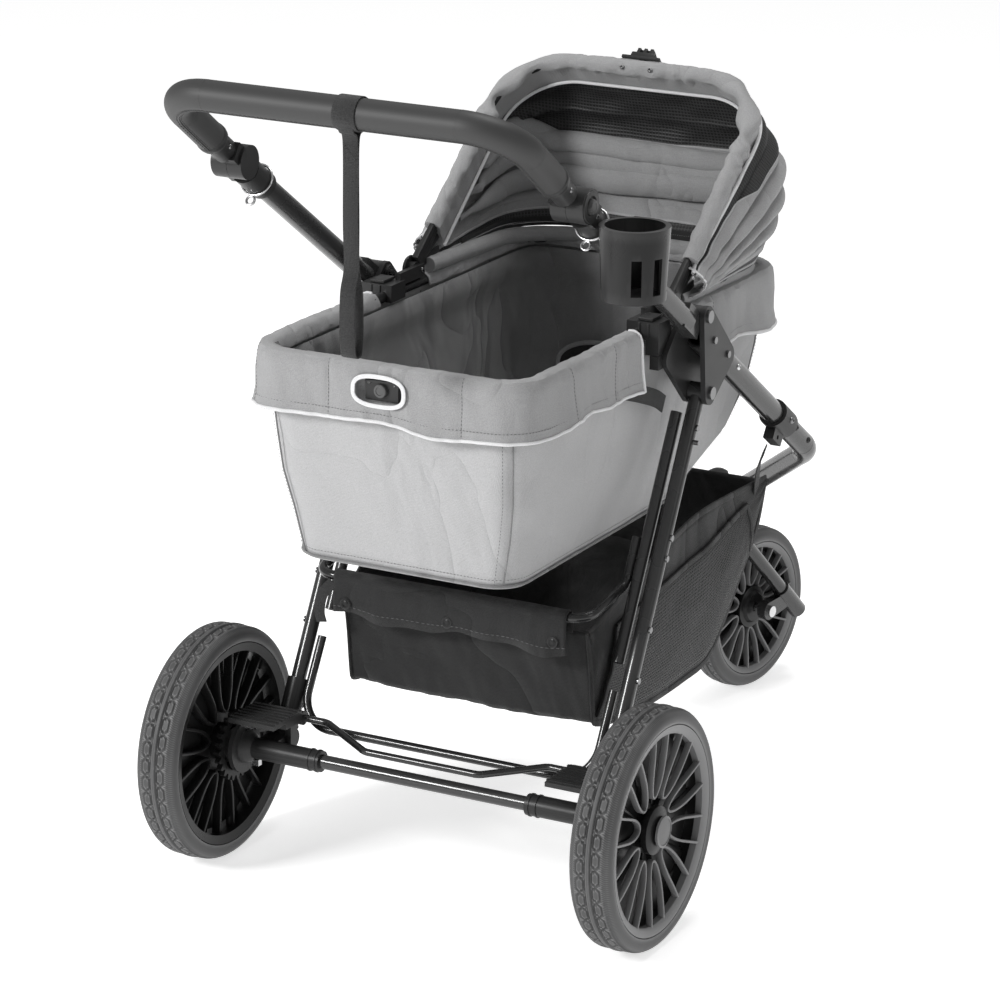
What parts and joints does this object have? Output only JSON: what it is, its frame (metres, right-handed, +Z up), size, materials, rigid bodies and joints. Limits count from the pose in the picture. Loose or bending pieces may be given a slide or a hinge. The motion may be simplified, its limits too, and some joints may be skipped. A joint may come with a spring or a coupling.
{
  "type": "pet stroller",
  "caption": "Folding pet stroller with a lift-off padded carrier, adjustable hood, storage basket, cup holder, tilting handle and swivelling front wheel.",
  "frame": {"origin": "on the floor, midway along the length and between the rear wheels", "axes": "+X to the right, +Y the way it travels, +Z up"},
  "size_m": [0.658, 1.2683, 1.0496],
  "materials": {
    "frame_tube": "satin",
    "bracket_plastic": "fine moulded grain",
    "steel": "plated",
    "grip_leather": "pebbled, stitched",
    "webbing": "woven tape",
    "carrier_fabric": "melange weave",
    "basket_fabric": "plain weave",
    "pad_fabric": "soft lining",
    "tyre": "foam rubber, moulded tread",
    "rim_plastic": "semi-gloss",
    "button_plastic": "satin"
  },
  "bodies": {
    "frame": {"front_tube_left": "frame_tube", "front_tube_right": "frame_tube", "hinge_bracket_left": "bracket_plastic", "hinge_bracket_right": "bracket_plastic", "fork_crown": "bracket_plastic", "tube_clamps": "bracket_plastic", "carrier_adapters": "bracket_plastic", "hinge_pins": "steel", "basket": "basket_fabric"},
    "push_frame": {"push_tube_left": "frame_tube", "push_tube_right": "frame_tube", "hinge_housing_left": "bracket_plastic", "hinge_housing_right": "bracket_plastic", "d_rings": "steel", "cup_clamp": "bracket_plastic"},
    "cup": {"cup_holder": "bracket_plastic"},
    "handlebar": {"handle_bar": "frame_tube", "handle_grip": "grip_leather", "handle_hub_left": "bracket_plastic", "handle_hub_right": "bracket_plastic"},
    "strap": {"wrist_strap": "webbing"},
    "button_left": {"hinge_button_left": "button_plastic"},
    "button_right": {"hinge_button_right": "button_plastic"},
    "links": {"latch_links": "frame_tube"},
    "rear_frame": {"rear_leg_left": "frame_tube", "rear_leg_right": "frame_tube", "lower_crossbar": "frame_tube", "basket_bar": "frame_tube", "rear_axle": "frame_tube", "axle_bracket_left": "bracket_plastic", "axle_bracket_right": "bracket_plastic", "stub_axles": "steel", "leg_rivets": "steel"},
    "release_left": {"wheel_release_left": "steel"},
    "release_right": {"wheel_release_right": "steel"},
    "brake": {"brake_pedal_left": "bracket_plastic", "brake_pedal_right": "bracket_plastic", "brake_link": "frame_tube"},
    "pin_left": {"brake_pin_left": "steel"},
    "pin_right": {"brake_pin_right": "steel"},
    "wheel_left": {"tyre_left": "tyre", "rim_left": "rim_plastic", "hub_cap_left": "rim_plastic"},
    "wheel_right": {"tyre_right": "tyre", "rim_right": "rim_plastic", "hub_cap_right": "rim_plastic"},
    "fork": {"front_fork": "frame_tube", "front_axle": "steel"},
    "front_wheel": {"front_tyre": "tyre", "front_rim": "rim_plastic"},
    "carrier": {"carrier_shell": "carrier_fabric", "carrier_collar": "carrier_fabric", "rim_frame": "frame_tube", "floor_pad": "pad_fabric", "carrier_clips": "bracket_plastic", "latch_block": "bracket_plastic", "hood_fabric": "carrier_fabric"},
    "catch_button": {"latch_button": "button_plastic"},
    "hood": {"hood_bow": "bracket_plastic", "hood_buckle": "bracket_plastic"}
  },
  "joints": [
    {"name": "push_fold", "type": "hinge", "parent": "frame", "child": "push_frame", "pos_m": [0, -0.12061, 0.71192], "axis": [1, 0, 0], "range_deg": [-160, 0]},
    {"name": "leg_fold", "type": "hinge", "parent": "frame", "child": "rear_frame", "pos_m": [0, -0.10922, 0.61257], "axis": [1, 0, 0], "range_deg": [0, 65], "deforming": ["basket"]},
    {"name": "link_swing", "type": "hinge", "parent": "frame", "child": "links", "pos_m": [0, -0.12061, 0.71192], "axis": [1, 0, 0], "range_deg": [-23, 0]},
    {"name": "handle_angle", "type": "hinge", "parent": "push_frame", "child": "handlebar", "pos_m": [0, -0.45566, 0.9162], "axis": [1, 0, 0], "range_deg": [-40, 60]},
    {"name": "strap_swing", "type": "hinge", "parent": "handlebar", "child": "strap", "pos_m": [0, -0.61278, 1.02828], "axis": [1, 0, 0], "range_deg": [-60, 40]},
    {"name": "button_left_press", "type": "slide", "parent": "push_frame", "child": "button_left", "axis": [1, 0, 0], "range_m": [0, 0.0035], "stiffness_N_per_m": 400},
    {"name": "button_right_press", "type": "slide", "parent": "push_frame", "child": "button_right", "axis": [-1, 0, 0], "range_m": [0, 0.0035], "stiffness_N_per_m": 400},
    {"name": "cup_lift", "type": "slide", "parent": "push_frame", "child": "cup", "axis": [0, 0, 1], "range_m": [0, 0.06]},
    {"name": "carrier_lift", "type": "slide", "parent": "frame", "child": "carrier", "axis": [0, 0, 1], "range_m": [0, 0.25]},
    {"name": "catch_press", "type": "slide", "parent": "carrier", "child": "catch_button", "axis": [0, 1, 0], "range_m": [0, 0.003], "stiffness_N_per_m": 400},
    {"name": "hood_fold", "type": "hinge", "parent": "carrier", "child": "hood", "pos_m": [0, -0.10268, 0.715], "axis": [1, 0, 0], "range_deg": [-30, 60], "deforming": ["hood_fabric"]},
    {"name": "wheel_left_spin", "type": "hinge", "parent": "rear_frame", "child": "wheel_left", "pos_m": [-0.3, -0.39268, 0.15], "axis": [1, 0, 0], "continuous": true},
    {"name": "wheel_right_spin", "type": "hinge", "parent": "rear_frame", "child": "wheel_right", "pos_m": [0.3, -0.39268, 0.15], "axis": [1, 0, 0], "continuous": true},
    {"name": "brake_press", "type": "hinge", "parent": "rear_frame", "child": "brake", "pos_m": [0, -0.36268, 0.19], "axis": [1, 0, 0], "range_deg": [0, 13]},
    {"name": "pin_left_throw", "type": "slide", "parent": "rear_frame", "child": "pin_left", "axis": [-1, 0, 0], "range_m": [0, 0.0052]},
    {"name": "pin_right_throw", "type": "slide", "parent": "rear_frame", "child": "pin_right", "axis": [1, 0, 0], "range_m": [0, 0.0052]},
    {"name": "release_left_press", "type": "slide", "parent": "rear_frame", "child": "release_left", "axis": [0, 0, 1], "range_m": [0, 0.003], "stiffness_N_per_m": 400},
    {"name": "release_right_press", "type": "slide", "parent": "rear_frame", "child": "release_right", "axis": [0, 0, 1], "range_m": [0, 0.003], "stiffness_N_per_m": 400},
    {"name": "fork_swivel", "type": "hinge", "parent": "frame", "child": "fork", "pos_m": [0, 0.44432, 0.28], "axis": [0, 0, 1], "continuous": true},
    {"name": "front_wheel_spin", "type": "hinge", "parent": "fork", "child": "front_wheel", "pos_m": [0.01367, 0.51807, 0.116], "axis": [0.9833, -0.1822, 0], "continuous": true}
  ],
  "couplings": [
    {"joint": "leg_fold", "follows": "push_fold", "ratio": -0.40625},
    {"joint": "link_swing", "follows": "push_fold", "ratio": 0.14},
    {"joint": "strap_swing", "follows": "handle_angle", "ratio": -1},
    {"joint": "pin_left_throw", "follows": "brake_press", "m_per_rad": 0.0229},
    {"joint": "pin_right_throw", "follows": "brake_press", "m_per_rad": 0.0229}
  ]
}
